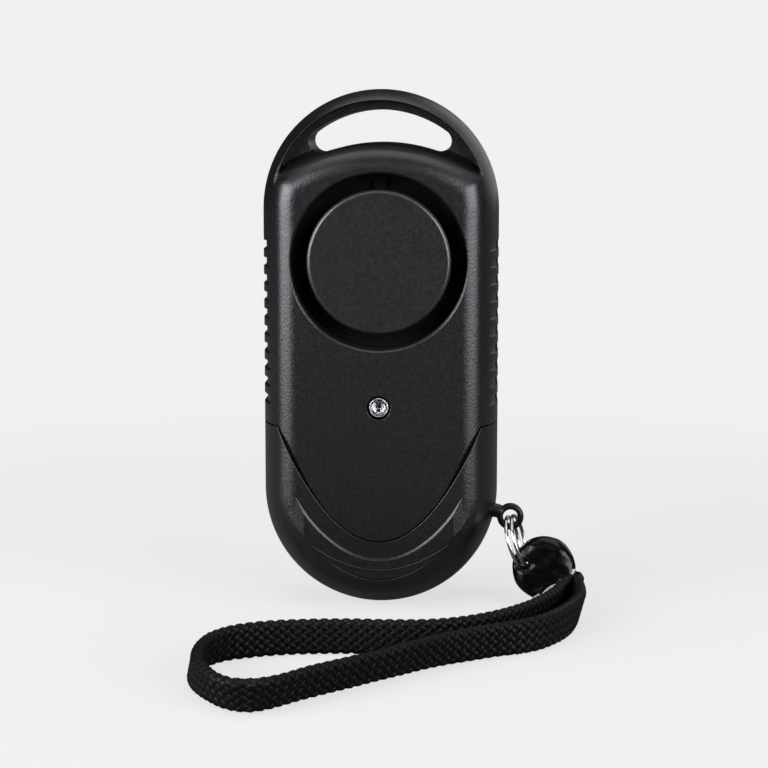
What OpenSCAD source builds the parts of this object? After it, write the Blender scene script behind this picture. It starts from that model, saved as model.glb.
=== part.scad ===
// Personal safety alarm: pill-shaped case with a carrying slot, a siren behind a disc,
// a lamp, and a pull pin on a split ring and a braided wrist strap.
// Millimetres. Z is up along the case, the front faces -Y, X is to the right seen from the front.
// The origin is the middle of the small flat that the case stands on.

/* [Case] */
// Width across the two straight sides
body_w = 42; // [41.5:0.5:46]
// Height from the standing flat to the top of the handle
body_h = 92; // [90:1:104]
// Thickness from the flat front to the flat back
body_t = 22; // [22:0.5:25]
// Wall thickness of the shells
wall = 1.6; // [1.4:0.1:1.7]
// Width of the small flat at the bottom
base_flat = 6; // [4:1:8]
// Radius of the rounded shoulder around the front
shoulder_r = 4.25; // [4:0.05:4.5]
// Width of the rim around the handle's recess, seen from the front
rim_w = 2.3; // [2:0.1:2.4]
// Radius of the edge around the back
back_r = 4; // [3:0.5:5]
// Gap along the seam between the front shell and the lower cover
seam_gap = 0.25; // [0.2:0.05:0.4]

/* [Handle slot] */
// Height of the slot in the middle
slot_h = 5.8; // [5:0.1:6]
// Width of the arch between the top of the case and the slot
arch_w = 3.6; // [3.2:0.1:4.2]
// Radius of the slot's rounded ends
slot_end_r = 2.05; // [1.9:0.05:2.15]

/* [Grip ribs] */
// Number of grooves on each side
groove_count = 10; // [6:1:10]
// Distance from one groove to the next
groove_pitch = 3.04; // [2.6:0.02:3.1]
// Width of a groove
groove_w = 1.65; // [1.2:0.05:1.8]
// Depth of a groove
groove_depth = 0.5; // [0.3:0.05:0.6]

/* [Siren and lamp] */
// Width of the front between the round opening and the side of the case
siren_margin = 5.6; // [5.6:0.1:7]
// Width of the black gap between the opening and the disc in it
siren_gap = 2.8; // [2:0.1:4]
// Diameter of the lamp's hole
led_hole_d = 4.2; // [4:0.1:4.6]
// Diameter of the lamp's clear lens
led_d = 3.5; // [3:0.1:3.6]

/* [Pull pin and ring] */
// Diameter of the pin's shank
pin_d = 2.6; // [2.2:0.1:2.8]
// Outside diameter of the pin's eye
eye_d = 4.8; // [4.7:0.1:5.2]
// Diameter of the hole in the eye
eye_hole_d = 2.6; // [2.5:0.05:2.7]
// Wire diameter of the split ring
ring_wire = 0.65; // [0.55:0.05:0.65]

/* [Wrist strap] */
// Width of the braided strap
strap_w = 6; // [5:0.2:6]
// Thickness of the braided strap
strap_t = 2; // [1.6:0.1:2]

/* [Hidden] */
$fn = 64;

// Case outline: two half circles joined by straight sides
end_r = body_w / 2;
low_z = sqrt(pow(end_r, 2) - pow(base_flat / 2, 2));
top_z = body_h - end_r;
// Depths are counted forward: f is the distance in front of the middle plane, so y = -f
front_f = body_t / 2;
back_y = body_t / 2;
part_y = back_y - 8;
// Section of the front: flat, then the shoulder's arc, then one wide arc down the side.
// The two arcs meet without a crease, where both lean 4 outward to 3 forward.
side_r = (front_f - 0.4 * shoulder_r) / 0.6;
side_c = end_r - side_r;
flat_r = end_r - 0.8 * shoulder_r - 0.2 * side_r;
shoulder_f = front_f - shoulder_r;

// Slot between two arcs, with round ends that touch both arcs
slot_top = body_h - arch_w;
slot_low = slot_top - slot_h;
slot_top_r = end_r - 1.2;
slot_low_r = end_r * 1.46;
slot_top_c = slot_top - slot_top_r;
slot_low_c = slot_low - slot_low_r;
slot_near = slot_top_r - slot_end_r;
slot_far = slot_low_r + slot_end_r;
slot_end_z = (pow(slot_far, 2) - pow(slot_near, 2) + pow(slot_top_c, 2) - pow(slot_low_c, 2))
    / (2 * (slot_top_c - slot_low_c));
slot_end_x = sqrt(pow(slot_near, 2) - pow(slot_end_z - slot_top_c, 2));
// Points where the end circle touches the two arcs
touch_top_x = slot_end_x * slot_top_r / slot_near;
touch_top_z = slot_top_c + (slot_end_z - slot_top_c) * slot_top_r / slot_near;
touch_low_x = slot_end_x * slot_low_r / slot_far;
touch_low_z = slot_low_c + (slot_end_z - slot_low_c) * slot_low_r / slot_far;
// The recess around the slot, and the top end of the dome below it
recess_r = end_r - rim_w;
recess_f = shoulder_f - 1.85;
lip_r = recess_r + 0.35;
lip_f = sqrt(pow(side_r, 2) - pow(lip_r - side_c, 2));
// Corner of the flat where the round end of the case and the top end of the dome meet
corner_far = slot_low_r - 4.55;
corner_z = (pow(corner_far, 2) - pow(flat_r, 2) + pow(top_z, 2) - pow(slot_low_c, 2)) / (2 * (top_z - slot_low_c));
corner_x = sqrt(pow(flat_r, 2) - pow(corner_z - top_z, 2));

// Seam between the front shell and the lower cover: side seams, slanted lines and a round end
seam_z = low_z + 12.3;
// Curved lines are [height of the lowest point, bend, rise at the ends]
tongue_line = [low_z - 8.1, 0.064, 0];
tongue_half = sqrt((seam_z - tongue_line[0]) / tongue_line[1]);
// Upper and lower edge of the raised band on the lower cover, and its height
ridge_upper = [low_z - 11.3, 0.0475, 0.04];
ridge_lower = [low_z - 15.1, 0.0405, 0.02];
ridge_h = 0.3;
ridge_slope = 0.26;
// The band sinks into the shoulder at its two ends, under one wide arc
ridge_half = end_r - 4.9;
fade_x = flat_r - 1.3;
fade_f = front_f + ridge_h;
end_f = shoulder_f + sqrt(pow(shoulder_r, 2) - pow(ridge_half - flat_r, 2));
fade_c = (pow(fade_x, 2) + pow(fade_f, 2) - pow(ridge_half, 2) - pow(end_f, 2)) / (2 * (fade_f - end_f));
fade_r = sqrt(pow(fade_x, 2) + pow(fade_f - fade_c, 2));

// Siren and lamp
siren_z = top_z - 9;
siren_r = end_r - siren_margin;
disc_r = siren_r - siren_gap;
cup_r = siren_r + 0.8;
led_z = siren_z - 25.5;
// Fronts of the pieces stacked in the siren, from the back
cup_back_f = 1;
ledge_f = 3.4;
plate_f = ledge_f + 0.25;
gasket_f = plate_f + 0.95;
felt_f = gasket_f + 0.5;
spider_f = felt_f + 1;
disc_f = front_f - 0.3;

// Boards
board_y = back_y - 5;
board_t = 1.6;
board_low = led_z + 6.6;
board_top = top_z + 5;
board_half = end_r - 9;
led_board_f = front_f - 5.3;

// Cell, upright in the middle of the lower half, as long and thick as the room below the lamp allows
cell_low = 7.6;
cell_len = led_z - cell_low - 1.2;
cell_r = back_y - wall - 4.25;
cell_y = back_y - wall - 1.05 - cell_r;
cell_top = cell_low + cell_len + 0.8;
tray_r = cell_r + 0.3;
tray_wall = 0.95;
door_half = 8;
door_low = 6.2;
door_top = cell_top + 5.9;
door_screw_z = door_top - 2;

// Screws: upper and middle pairs hold the front shell, the low pair the lower cover
upper_screws = [[end_r - 5.8, top_z + 5.2], [5.8 - end_r, top_z + 5.2],
    [end_r - 5.8, seam_z + 9.9], [5.8 - end_r, seam_z + 9.9]];
low_screws = [[end_r - 9, 11], [9 - end_r, 11]];
screw_r = 0.95;
head_r = 2;
boss_r = 2.3;
well_deep = 2.4;
screw_len = back_y - well_deep - part_y + 4.9;

// Pull pin, straight in from the right side, with its eye turned down outside
pin_y = -3;
pin_z = 17;
pin_tip = end_r - 12.4;
pin_drop = 25;
elbow = [end_r - 0.2, pin_y, pin_z];
pin_clear = 0.08;
eye = elbow + (end_r + 2.4 - elbow[0]) * [1, 0, -tan(pin_drop)];
eye_t = 1.8;
eye_cut = 0.3;
eye_band = (eye_d - eye_hole_d) / 2;
base_in = end_r - 7.4;
base_out = end_r - 4.8;

// Split ring: two turns of wire through the eye and the hole in the sleeve
ring_pitch = ring_wire + 0.43;
ring_low = eye + [2.3, -1.2, -8.87];
ring_u = unit(ring_low - eye);
ring_turn = 13;
ring_back = unit([0, 1, 0] - ring_u[1] * ring_u);
ring_v = cos(ring_turn) * ring_back + sin(ring_turn) * cross(ring_u, ring_back);
ring_n = cross(ring_u, ring_v);
ring_r = norm(ring_low - eye) / 2;
ring_c = (ring_low + eye) / 2;
ring_steps = 24;
ring_path = [for (k = [0:2 * ring_steps]) ring_point(k * 360 / ring_steps)];
echo(split_ring_gap = least_gap(ring_path, ring_wire, 6));

// Sleeve: a round tab, cut off square where the strap leaves it
sleeve = eye + [6.1, -1.2, -9.1];
sleeve_r = 5.7;
sleeve_t = 2 * strap_t + 1;
sleeve_cut = 3.3;
sleeve_slant = -54.8;
strap_off = 1.4;
ring_hole = ring_low + 0.5 * ring_pitch * ring_n;
ring_hole_r = 1.6;

// Strap: both ends lie in the sleeve, one behind the other, and the loop lies on its edge on the floor.
// Each point is x, y, z of the middle of the strap and the sideways lean of its width in x and y.
layer = strap_t / 2 + 0.05;
shift = eye[0] - 23.4;
strap_z = strap_w / 2 + 0.05;
strap_points = [
    [30.7, -4.2 + layer, 7.4, 1.2, 0], [31.9, -4.2 + layer, 5.7, 1.2, 0], [33.3, -3.15, 3.75, 1.1, 0],
    [34.5, -4.7, strap_z + 0.35, 0.75, 0], [34.6, -8.4, strap_z + 0.35, 0.45, 0],
    [34.9, -12, strap_z + 0.1, 0.35, -0.05], [34.9, -15.5, strap_z, 0.3, -0.05],
    [34.6, -19, strap_z, 0.25, -0.1], [33.8, -22.6, strap_z, 0.15, -0.05], [32.6, -26.6, strap_z, 0.05, 0],
    [30.7, -31, strap_z, 0, 0], [27.9, -35.4, strap_z, 0, 0], [25.2, -38, strap_z, 0, -0.05],
    [22.6, -39.6, strap_z, 0.05, -0.1], [20, -41.1, strap_z, 0.1, -0.15], [16.2, -43.6, strap_z, 0.1, -0.15],
    [12.7, -46.1, strap_z, 0.15, -0.2], [9, -49.3, strap_z, 0.2, -0.25], [5.5, -52.9, strap_z, 0.25, -0.25],
    [2, -56.5, strap_z, 0.3, -0.3], [-1.5, -60, strap_z, 0.3, -0.3], [-5, -63.3, strap_z, 0.3, -0.3],
    [-8.4, -66.6, strap_z, 0.3, -0.3], [-11.6, -70.3, strap_z, 0.3, -0.35], [-13.6, -72.2, strap_z, 0.2, -0.4],
    [-15.8, -73.4, strap_z, 0.1, -0.4], [-18.4, -73.2, strap_z, -0.15, -0.4],
    [-20.8, -71.2, strap_z, -0.25, -0.25], [-22.6, -68.4, strap_z, -0.2, -0.15], [-24.4, -64.8, strap_z, -0.1, 0],
    [-25.7, -61.2, strap_z, 0.05, 0], [-26.4, -57, strap_z, 0.2, 0], [-26.3, -52.4, strap_z, 0.25, 0],
    [-25.2, -48.2, strap_z, 0.2, -0.1], [-22.8, -44.8, strap_z, 0.1, -0.1], [-19.4, -42.6, strap_z, 0, 0],
    [-15.3, -41, strap_z, 0, 0], [-9.5, -39.9, strap_z, 0, 0], [-3.5, -39.5, strap_z, 0, 0],
    [2.5, -39.7, strap_z, 0, 0], [7.8, -39.5, strap_z, 0, 0], [12.6, -38.3, strap_z, 0, 0],
    [16.8, -36, strap_z, 0, 0], [20.6, -32.9, strap_z, 0, 0], [23.9, -29.2, strap_z, 0, 0],
    [26.7, -25.2, strap_z, 0, 0], [29, -21, strap_z, 0, 0], [30.7, -17, strap_z, 0, 0],
    [31.7, -13.2, strap_z + 0.1, 0.1, 0], [32.1, -10.2, strap_z + 0.25, 0.3, 0],
    [32.3, -8.2, strap_z + 0.45, 0.55, 0], [32.4, -6.7, strap_z + 0.8, 0.85, 0],
    [32.65, -5.4, 4.45, 1.1, 0], [31.9, -4.2 - layer, 5.7, 1.2, 0], [30.7, -4.2 - layer, 7.4, 1.2, 0]];
strap_path = [for (p = strap_points) [p[0] + shift, p[1], p[2]]];
echo(strap_length = path_length(strap_path));

// Conical spring under the cell
spring_wire = 0.5;
spring_turns = 2.5;
spring_low = 5.2;
spring_path = [for (k = [0:20]) let (a = k / 20)
    [(3.6 - 1.3 * a) * cos(360 * spring_turns * a), cell_y + (3.6 - 1.3 * a) * sin(360 * spring_turns * a),
        spring_low + spring_wire / 2 + a * (cell_low - spring_low - spring_wire)]];
echo(battery_spring_gap = least_gap(spring_path, spring_wire, 6));

// Wires from the switch to the main board
lead_r = 0.35;
lead_paths = [for (y = [pin_y - 1.95, pin_y + 1.95]) let (side = y < pin_y ? 0 : 1.4)
    [[end_r - 6.2, y, 19.35], [end_r - 6.4, y + 0.4, 23], [end_r - 8, y + 2, 29], [end_r - 10 - side, 4, 36],
        [board_half - 1 - side, board_y - 0.6, board_low - 1],
        [board_half - 1.4 - side, board_y - lead_r, board_low + 1.6]]];

function unit(v) = v / norm(v);
function ring_point(a) = ring_c + ring_r * (cos(a) * ring_v - sin(a) * ring_u)
    + ring_n * ring_pitch * (a - 270) / 360;
function path_length(p) = len(p) < 2 ? 0 : [for (k = 1, s = norm(p[1] - p[0]); k < len(p);
    k = k + 1, s = k < len(p) ? s + norm(p[k] - p[k - 1]) : s) s][len(p) - 2];
// Least distance between two stretches of one wire that are at least skip points apart
function least_gap(p, wire, skip) = min([for (i = [0:len(p) - 1 - skip]) for (j = [i + skip:len(p) - 1])
    norm(p[i] - p[j])]) - wire;
function line_z(line, x) = line[0] + line[1] * x * x + line[2] * pow(x / 10, 8);
function line_slope(line, x) = 2 * line[1] * x + 0.8 * line[2] * pow(x / 10, 7);
// Points along a curved line from -half to half, moved out and down by grow
function line_points(line, half, grow) = [for (k = [-20:20])
    let (x = half * k / 20, a = line_slope(line, x), n = sqrt(1 + a * a)) [x + grow * a / n, line_z(line, x) - grow / n]];
function heading(p, k) = unit(p[min(k + 1, len(p) - 1)] - p[max(k - 1, 0)]);
// One curve through the points, with cuts extra points between each pair
function curve_point(a, b, c, d, t) = 0.5 * (2 * b + (c - a) * t + (2 * a - 5 * b + 4 * c - d) * t * t
    + (3 * b - a - 3 * c + d) * t * t * t);
function smooth(p, cuts) = [for (k = [0:len(p) - 2]) for (s = [0:cuts])
    curve_point(p[max(k - 1, 0)], p[k], p[k + 1], p[min(k + 2, len(p) - 1)], s / (cuts + 1)), p[len(p) - 1]];

// Swept tube: path holds ring centres, across holds each ring's width direction, section is a list of
// [along the width, along the thickness] points
module sweep(path, across, section) {
    sides = len(section);
    count = len(path);
    points = [for (k = [0:count - 1])
        let (t = heading(path, k), w = unit(across[k] - (across[k] * t) * t), b = cross(t, w))
        for (s = section) path[k] + s[0] * w + s[1] * b];
    walls = [for (k = [0:count - 2]) for (i = [0:sides - 1]) let (j = (i + 1) % sides)
        each [[k * sides + i, k * sides + j, (k + 1) * sides + j],
            [k * sides + i, (k + 1) * sides + j, (k + 1) * sides + i]]];
    ends = [[for (i = [sides - 1:-1:0]) i], [for (i = [0:sides - 1]) (count - 1) * sides + i]];
    polyhedron(points = points, faces = concat(walls, ends));
}

// Round section with the given number of sides
function round_section(r, sides) = [for (i = [0:sides - 1]) [r * cos(-360 * i / sides), r * sin(-360 * i / sides)]];

// Flat shapes drawn in x and z, and cut from y0 back to y1
module along_y(y0, y1) {
    translate([0, y1, 0]) rotate([90, 0, 0]) linear_extrude(y1 - y0) children();
}

// Flat shapes drawn in distance and height, turned about the front-to-back axis at x = 0 and the given z
module around_y(z) {
    translate([0, 0, z]) rotate([90, 0, 0]) rotate_extrude() children();
}

// Half section of the front pieces, set in by t: distance from the spine across, f up
module front_section(t) {
    translate([0, -part_y]) square([flat_r, front_f - t + part_y]);
    translate([flat_r, shoulder_f]) intersection() {
        circle(shoulder_r - t);
        polygon([[0, 0], [8, 6], [0, 6]]);
    }
    translate([side_c, 0]) intersection() {
        circle(side_r - t);
        polygon([[0, 0], [24, 0], [24, 18]]);
    }
    if (part_y > 0) translate([0, -part_y]) square([end_r - t, part_y]);
}

// Section of the front's edge: distance outward from the flat across, f up
module edge_section() {
    intersection() {
        translate([-flat_r, 0]) front_section(0);
        translate([0, recess_f - 1]) square(body_t);
    }
}

// Half section of the back shell, set in by t
module rear_section(t) {
    translate([0, -back_y + t]) square([end_r - back_r, back_y - t - part_y]);
    translate([0, -back_y + back_r]) square([end_r - t, back_y - back_r - part_y]);
    intersection() {
        translate([end_r - back_r, -back_y + back_r]) circle(back_r - t);
        translate([end_r - back_r, -back_y]) square(back_r);
    }
}

// Carries a half section around the whole outline of the case
module front_pill(t) {
    translate([0, 0, top_z]) rotate([90, 0, 0]) rotate_extrude(angle = 180) front_section(t);
    translate([0, 0, low_z]) rotate([90, 180, 0]) rotate_extrude(angle = 180) front_section(t);
    translate([0, 0, low_z]) linear_extrude(top_z - low_z) {
        mirror([0, 1]) front_section(t);
        mirror([1, 0]) mirror([0, 1]) front_section(t);
    }
}

module rear_pill(t) {
    translate([0, 0, top_z]) rotate([90, 0, 0]) rotate_extrude(angle = 180) rear_section(t);
    translate([0, 0, low_z]) rotate([90, 180, 0]) rotate_extrude(angle = 180) rear_section(t);
    translate([0, 0, low_z]) linear_extrude(top_z - low_z) {
        mirror([0, 1]) rear_section(t);
        mirror([1, 0]) mirror([0, 1]) rear_section(t);
    }
}

// Everything above the cavity's round top end, so that the handle stays solid
module above_cavity() {
    difference() {
        translate([-body_w, -body_t, slot_low_c]) cube([2 * body_w, 2 * body_t, body_h]);
        around_y(slot_low_c) translate([0, -body_t]) square([slot_low_r - 2, 2 * body_t]);
    }
}

// Below the standing flat
module under_flat() {
    translate([-body_w, -body_t, -body_h]) cube([2 * body_w, 2 * body_t, body_h]);
}

// Outline of the carrying slot
module slot_outline() {
    difference() {
        intersection() {
            translate([0, slot_top_c]) circle(slot_top_r);
            polygon([[-touch_top_x, body_h], [touch_top_x, body_h], [touch_top_x, touch_top_z],
                [touch_low_x, touch_low_z], [touch_low_x, slot_low - 6], [-touch_low_x, slot_low - 6],
                [-touch_low_x, touch_low_z], [-touch_top_x, touch_top_z]]);
        }
        translate([0, slot_low_c]) circle(slot_low_r);
    }
    // The round ends are a hair larger than the circles that touch both arcs, so that they cross them
    for (s = [-1, 1]) translate([s * slot_end_x, slot_end_z]) circle(slot_end_r + 0.005);
}

// Tongue of the front shell and all that lies above the side seams, grown by grow
module upper_outline(grow) {
    polygon(line_points(tongue_line, tongue_half, grow));
    translate([-body_w, seam_z - grow]) square([2 * body_w, body_h]);
}

// Raised band across the lower cover; its edges rise in three low steps that make a slope
module raised_band() {
    for (k = [0:2]) {
        upper = line_points(ridge_upper, ridge_half, ridge_slope * k / 2);
        lower = line_points(ridge_lower, ridge_half, -ridge_slope * k / 2);
        difference() {
            intersection() {
                along_y(-body_t, 0) polygon(concat(lower, [for (i = [len(upper) - 1:-1:0]) upper[i]]));
                front_pill(-ridge_h * (k + 1) / 3);
                translate([0, -fade_c, 0]) cylinder(r = fade_r, h = body_h);
            }
            front_pill(wall / 2);
        }
    }
}

// Grip grooves along both straight sides, cut to an even depth
module side_grooves(y0, y1) {
    first = low_z + (top_z - low_z) / 2 + 5.1 - (groove_count - 1) * groove_pitch / 2;
    for (k = [0:groove_count - 1]) {
        translate([0, 0, first + k * groove_pitch - groove_w / 2]) linear_extrude(groove_w) difference() {
            for (s = [-1, 1]) translate([s * (end_r + 0.5) - 2.5, y0]) square([5, y1 - y0]);
            mirror([0, 1]) groove_floor();
            mirror([1, 0]) mirror([0, 1]) groove_floor();
        }
    }
}

// Section that the grooves stop at
module groove_floor() {
    translate([0, -back_y]) square([end_r - groove_depth, back_y]);
    intersection() {
        translate([side_c, 0]) circle(side_r - groove_depth);
        square([end_r, front_f]);
    }
}

// Round posts inside the front pieces for the screws
module front_bosses(places) {
    difference() {
        intersection() {
            along_y(-front_f, part_y) for (p = places) translate(p) circle(boss_r);
            front_pill(wall / 2);
        }
        boss_holes(places);
    }
}

module boss_holes(places) {
    along_y(part_y - 6.5, part_y + 1) for (p = places) translate(p) circle(screw_r + 0.05);
}

module front_shell() color([0.1, 0.1, 0.11]) {
    difference() {
        union() {
            difference() {
                front_pill(0);
                difference() {
                    front_pill(wall);
                    above_cavity();
                }
            }
            front_bosses(upper_screws);
        }
        handle_recess();
        boss_holes(upper_screws);
        along_y(-body_t, body_t) slot_outline();
        along_y(-body_t, 1 - front_f + shoulder_r) translate([0, siren_z]) circle(siren_r);
        around_y(siren_z) polygon([[0, front_f - 0.35], [siren_r, front_f - 0.35], [siren_r + 0.85, front_f + 0.5],
            [0, front_f + 0.5]]);
        along_y(-body_t, 0) translate([0, led_z]) circle(led_hole_d / 2);
        side_grooves(-shoulder_f, part_y + 1);
        difference() {
            translate([-body_w, -body_t, -1]) cube([2 * body_w, 2 * body_t, seam_z + 1]);
            along_y(-body_t, body_t) upper_outline(0);
        }
    }
}

// Lowered floor around the slot, with a chamfered lip outside it and the rounded top end of the dome inside
module handle_recess() {
    intersection() {
        around_y(top_z) polygon([[0, recess_f], [recess_r + 0.1, recess_f], [recess_r + 0.1, lip_f - 0.25],
            [lip_r + 2, lip_f + 2], [lip_r + 2, body_t], [0, body_t]]);
        union() {
            around_y(slot_low_c) translate([corner_far, 0]) difference() {
                translate([0, recess_f]) square([body_h, body_t]);
                edge_section();
            }
            difference() {
                corner_wedges();
                dome_corners();
            }
        }
        translate([-body_w, -body_t, slot_low - 12]) cube([2 * body_w, 2 * body_t, 40]);
    }
}

// Wedges between the two outward directions at the dome's upper corners
module corner_wedges() {
    along_y(-body_t, 1 - recess_f) for (s = [-1, 1]) polygon([[s * corner_x, corner_z],
        [s * corner_x * 1.6, corner_z + (corner_z - top_z) * 0.6],
        [s * corner_x * 1.6, corner_z + (corner_z - slot_low_c) * 0.5],
        [s * corner_x * 1.5, corner_z + (corner_z - slot_low_c) * 0.5]]);
}

// The dome's upper corners, with the same edge turned around each corner of the flat
module dome_corners() {
    for (s = [-1, 1]) translate([s * corner_x, 0, corner_z]) rotate([90, 0, 0]) rotate_extrude() edge_section();
}

module lower_cover() color([0.1, 0.1, 0.11]) {
    difference() {
        union() {
            difference() {
                front_pill(0);
                front_pill(wall);
            }
            front_bosses(low_screws);
            raised_band();
        }
        boss_holes(low_screws);
        under_flat();
        along_y(-body_t, body_t) upper_outline(seam_gap);
        translate([0, pin_y, pin_z]) rotate([0, 90, 0]) cylinder(r = pin_d / 2 + 0.3, h = body_w);
    }
}

module rear_shell() color([0.1, 0.1, 0.11]) {
    difference() {
        union() {
            difference() {
                rear_pill(0);
                difference() {
                    rear_pill(wall);
                    above_cavity();
                }
            }
            intersection() {
                rear_posts();
                rear_pill(wall / 2);
            }
            switch_post();
        }
        under_flat();
        along_y(-body_t, body_t) slot_outline();
        side_grooves(part_y - 1, back_y - back_r);
        screw_wells(concat(upper_screws, low_screws), well_deep, head_r + 0.3);
        along_y(back_y - 5, back_y + 1) translate([0, door_screw_z]) circle(screw_r + 0.05);
        door_pocket();
    }
}

module rear_posts() {
    along_y(part_y, back_y) for (p = concat(upper_screws, low_screws)) translate(p) circle(boss_r + 0.5);
    along_y(back_y - 4.5, back_y) translate([0, door_screw_z]) circle(boss_r);
    along_y(board_y + board_t, back_y) for (x = [2 - board_half, board_half - 2]) for (z = [board_low + 3, board_top - 3])
        translate([x, z]) circle(1.6);
}

module switch_post() {
    translate([base_in + 0.2, 0, pin_z - 1.9]) cube([base_out - base_in - 0.4, back_y - wall / 2, 3.8]);
}

module screw_wells(places, deep, r) {
    along_y(back_y - deep, back_y + 1) for (p = places) translate(p) circle(r);
    along_y(part_y - 1, back_y) for (p = places) translate(p) circle(screw_r + 0.25);
}

// Rectangle with round corners, centred across, from z0 to z1
module round_window(half, z0, z1, r) {
    translate([-half, z0 + r]) square([2 * half, z1 - z0 - 2 * r]);
    translate([-half + r, z0]) square([2 * half - 2 * r, z1 - z0]);
    for (x = [-half + r, half - r]) for (z = [z0 + r, z1 - r]) translate([x, z]) circle(r);
}

module door_pocket() {
    along_y(back_y - 1.05, back_y + 1) round_window(door_half + 0.15, door_low - 0.15, door_top + 0.15, 3.15);
    along_y(back_y - 4, back_y) round_window(cell_r + 0.5, door_low + 1.2, cell_top + 0.7, 2);
}

module battery_door() color([0.11, 0.11, 0.12]) {
    difference() {
        union() {
            along_y(back_y - 1, back_y) round_window(door_half, door_low, door_top, 3);
            along_y(back_y - 1.7, back_y - 1) round_window(cell_r + 0.2, door_low + 1.5, cell_top + 0.4, 1.7);
        }
        along_y(back_y - 0.45, back_y + 1) for (k = [0:4])
            translate([-3.5, cell_top - 2 - 1.5 * k]) square([7, 0.75]);
        along_y(back_y - 3, back_y + 1) translate([0, door_screw_z]) circle(screw_r + 0.15);
        along_y(back_y - 0.55, back_y + 1) translate([0, door_screw_z]) circle(1.75);
    }
}

// Screw with a flat round head and a cross slot, seat of the head at y = 0, shank towards -Y
module cross_screw(length, r_head, t_head) {
    difference() {
        rotate([-90, 0, 0]) rotate_extrude() polygon([[0, 0], [r_head, 0], [r_head, t_head * 0.6],
            [r_head - 0.35, t_head], [0, t_head]]);
        translate([-0.25, t_head * 0.45, -1]) cube([0.5, 2, 2]);
        translate([-1, t_head * 0.45, -0.25]) cube([2, 2, 0.5]);
    }
    rotate([90, 0, 0]) rotate_extrude() polygon([[0, -0.1], [screw_r, -0.1], [screw_r, length - 0.8],
        [0.3, length], [0, length]]);
}

module door_screw() color([0.6, 0.6, 0.62]) {
    translate([0, back_y - 0.55, door_screw_z]) cross_screw(3.6, 1.6, 0.5);
}

module case_screws() color([0.6, 0.6, 0.62]) {
    for (p = concat(upper_screws, low_screws))
        translate([p[0], back_y - well_deep, p[1]]) cross_screw(screw_len, head_r, well_deep - 1);
}

// Disc with a short post behind it that stands on the spider
module siren_disc() color([0.1, 0.1, 0.11]) {
    r = disc_r;
    around_y(siren_z) polygon([[0, spider_f], [2.8, spider_f], [2.8, disc_f - 2.4],
        [r - 0.6, disc_f - 2.4], [r, disc_f - 1.9], [r, disc_f - 0.45], [r - 0.45, disc_f], [0, disc_f]]);
}

// Ring with three arms and a hub, deep in the black gap
module siren_spider() color([0.05, 0.05, 0.05]) {
    along_y(-spider_f, -felt_f) translate([0, siren_z]) {
        difference() {
            circle(siren_r - 0.1);
            circle(siren_r - 0.9);
        }
        for (a = [90, 210, 330]) rotate(a) translate([0, -1]) square([siren_r - 0.5, 2]);
        circle(3.4);
    }
}

module siren_cup() color([0.08, 0.08, 0.08]) {
    around_y(siren_z) {
        translate([siren_r, cup_back_f]) square([cup_r - siren_r, shoulder_f + 1.8 - cup_back_f]);
        translate([siren_r - 2.4, ledge_f - 1]) square([2.6, 1]);
    }
}

module sound_felt() color([0.05, 0.05, 0.05]) {
    around_y(siren_z) translate([0, gasket_f]) square([siren_r - 0.1, felt_f - gasket_f]);
}

module siren_gasket() color([0.15, 0.15, 0.15]) {
    around_y(siren_z) translate([siren_r - 2.4, plate_f]) square([2.3, gasket_f - plate_f]);
}

module piezo_plate() color([0.78, 0.62, 0.3]) {
    around_y(siren_z) translate([0, ledge_f]) square([siren_r - 1.6, plate_f - ledge_f]);
}

module piezo_ceramic() color([0.85, 0.82, 0.74]) {
    around_y(siren_z) translate([0, ledge_f - 0.25]) square([siren_r - 5.6, 0.25]);
}

module siren_leads() color([0.7, 0.1, 0.1]) {
    translate([0, 0, siren_z]) rotate([90, 0, 0]) translate([0, 0, -board_y])
        cylinder(r = lead_r, h = board_y + ledge_f - 0.25);
    translate([siren_r - 4, 0, siren_z]) rotate([90, 0, 0]) translate([0, 0, -board_y])
        cylinder(r = lead_r, h = board_y + ledge_f);
}

module led() color([0.85, 0.87, 0.9]) {
    around_y(led_z) {
        r = led_d / 2;
        translate([0, led_board_f]) square([r - 0.2, 1]);
        translate([0, led_board_f + 0.9]) square([r + 0.4, front_f - wall - led_board_f - 1.1]);
        translate([0, front_f - wall - 0.5]) square([r, wall - 0.3]);
        intersection() {
            translate([0, front_f - 1.9]) circle(sqrt(pow(r, 2) + pow(1.1, 2)));
            translate([0, front_f - 0.85]) square([r, 2]);
        }
    }
}

module led_board() color([0.05, 0.3, 0.15]) {
    along_y(-led_board_f, 1.2 - led_board_f) round_window(5, led_z - 5, led_z + 8, 1);
}

module led_leads() color([0.7, 0.1, 0.1]) {
    for (x = [-3, 3]) translate([x, 0, led_z + 7.2]) rotate([90, 0, 0]) translate([0, 0, -board_y])
        cylinder(r = lead_r, h = board_y + led_board_f - 1.2);
}

module main_board() color([0.05, 0.3, 0.15]) {
    along_y(board_y, board_y + board_t) round_window(board_half, board_low, board_top, 1.5);
}

module driver_chip() color([0.06, 0.06, 0.06]) {
    translate([3 - board_half, board_y - 1.5, board_low + 9]) cube([5, 1.5, 6]);
    for (k = [0:3]) for (x = [2, 8]) translate([x - board_half, board_y - 0.5, board_low + 9.6 + 1.4 * k])
        cube([1, 0.5, 0.6]);
}

module boost_coil() color([0.35, 0.2, 0.1]) {
    translate([board_half - 5.5, board_y, board_low + 9]) rotate([90, 0, 0]) rotate_extrude()
        polygon([[0, 0], [3.6, 0], [3.6, 1], [2.6, 1.4], [2.6, 3.6], [3.6, 4], [3.6, 5], [0, 5]]);
}

module capacitor() color([0.15, 0.2, 0.4]) {
    translate([board_half - 5.5, board_y, board_low + 20]) rotate([90, 0, 0]) rotate_extrude()
        polygon([[0, 0], [2.5, 0], [2.5, 1], [2.35, 1.2], [2.5, 1.4], [2.5, 5.2], [2.2, 5.6], [0, 5.6]]);
}

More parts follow.
